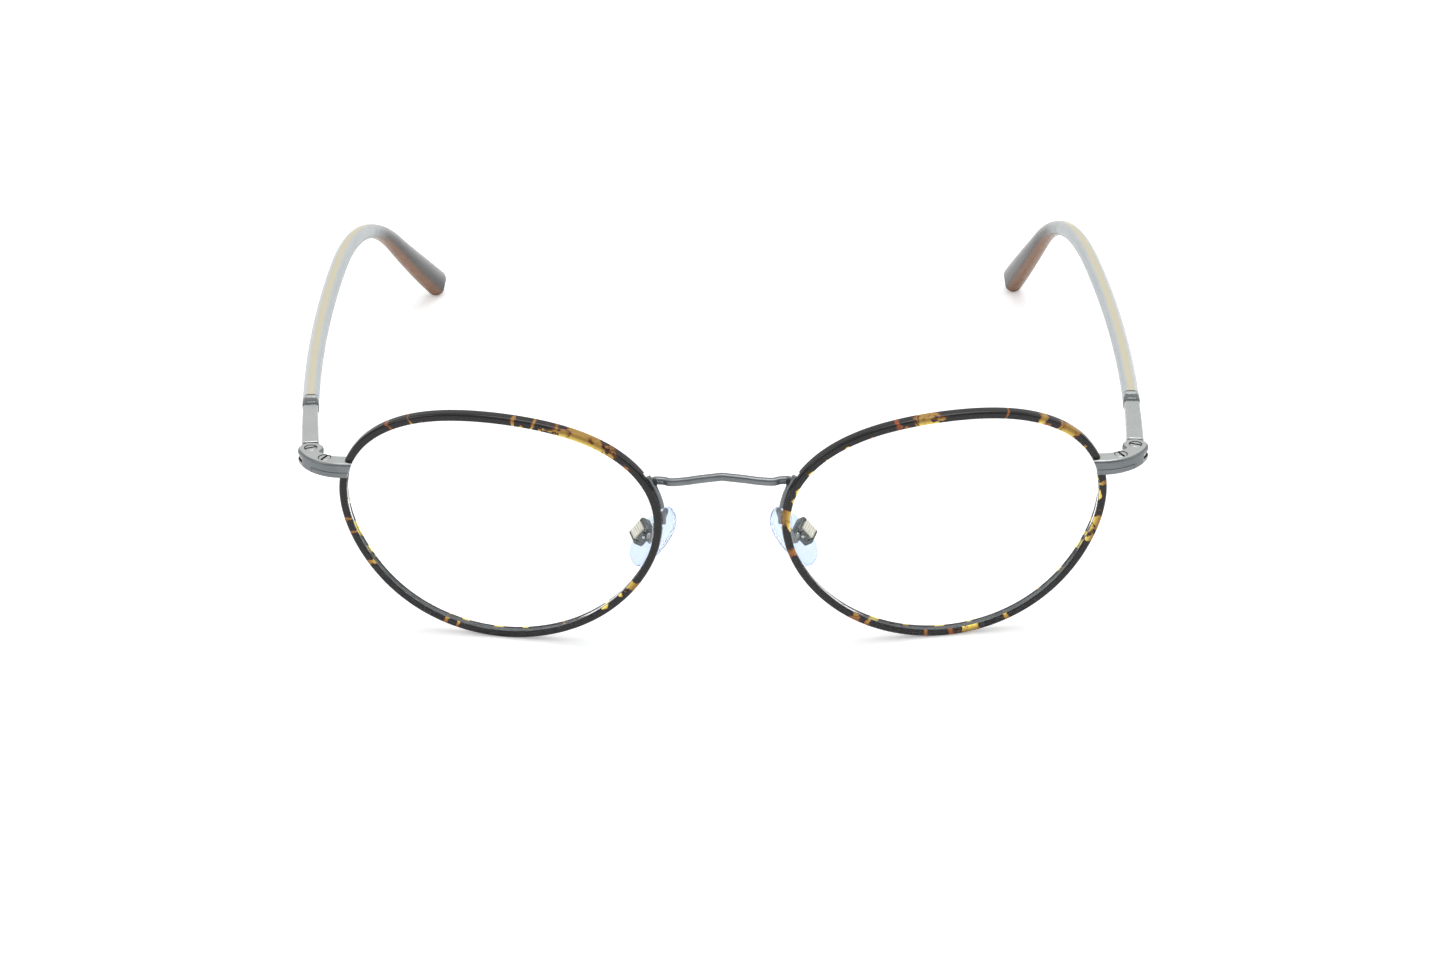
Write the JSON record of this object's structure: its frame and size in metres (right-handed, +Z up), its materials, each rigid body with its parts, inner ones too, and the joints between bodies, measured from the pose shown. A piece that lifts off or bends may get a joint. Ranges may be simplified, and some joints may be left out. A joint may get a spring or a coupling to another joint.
{
  "type": "eyeglasses",
  "caption": "Oval full-rim eyeglasses: metal eyewires under tortoise acetate rim covers, folding wire-core temples and rocking nose pads on wire arms.",
  "frame": {"origin": "centre of the bounding box's bottom, where the open glasses rest on their rims and temple tips", "axes": "+X towards the right-hand lens seen from the front, +Y from the lenses back along the temples, +Z up"},
  "size_m": [0.1366, 0.1424, 0.0413],
  "materials": {
    "gunmetal": "satin gunmetal plating",
    "bright_steel": "satin light grey plating",
    "tortoise_acetate": "polished near-black acetate with amber, yellow and red-brown patches",
    "clear_lens": "clear polished",
    "clear_silicone": "clear soft silicone with a pale blue cast",
    "ivory_plastic": "ribbed ivory plastic",
    "gilt_core": "pale gilt wire",
    "grey_sleeve": "translucent grey acetate, darkening to brown at the tip"
  },
  "bodies": {
    "front": {"bridge": "gunmetal", "closing_block_left": "gunmetal", "closing_block_right": "gunmetal", "closing_screw_left": "bright_steel", "closing_screw_right": "bright_steel", "end_piece_left": "gunmetal", "end_piece_right": "gunmetal", "eyewire_left": "gunmetal", "eyewire_right": "gunmetal", "hinge_screw_left": "bright_steel", "hinge_screw_right": "bright_steel", "lens_left": "clear_lens", "lens_right": "clear_lens", "pad_arm_left": "gunmetal", "pad_arm_right": "gunmetal", "pad_holder_left": "gunmetal", "pad_holder_right": "gunmetal", "pad_pin_left": "bright_steel", "pad_pin_right": "bright_steel", "rim_cover_left": "tortoise_acetate", "rim_cover_right": "tortoise_acetate"},
    "temple_left": {"collar_left": "bright_steel", "core_wire_left": "gilt_core", "temple_bar_left": "bright_steel", "temple_sleeve_left": "grey_sleeve"},
    "temple_right": {"collar_right": "bright_steel", "core_wire_right": "gilt_core", "temple_bar_right": "bright_steel", "temple_sleeve_right": "grey_sleeve"},
    "pad_left": {"nose_pad_left": "clear_silicone", "pad_insert_left": "ivory_plastic"},
    "pad_right": {"nose_pad_right": "clear_silicone", "pad_insert_right": "ivory_plastic"}
  },
  "joints": [
    {"name": "left_temple_fold", "type": "hinge", "parent": "front", "child": "temple_left", "pos_m": [-0.06412, -0.05824, 0.02929], "axis": [0, 0, -1], "range_deg": [0, 86]},
    {"name": "right_temple_fold", "type": "hinge", "parent": "front", "child": "temple_right", "pos_m": [0.06618, -0.05824, 0.02929], "axis": [0, 0, 1], "range_deg": [0, 78]},
    {"name": "left_pad_rock", "type": "hinge", "parent": "front", "child": "pad_left", "pos_m": [-0.0121, -0.05982, 0.01617], "axis": [-0.3161, 0.9135, 0.256], "range_deg": [-8, 8]},
    {"name": "right_pad_rock", "type": "hinge", "parent": "front", "child": "pad_right", "pos_m": [0.01416, -0.05982, 0.01617], "axis": [0.3161, 0.9135, 0.256], "range_deg": [-8, 8]}
  ]
}
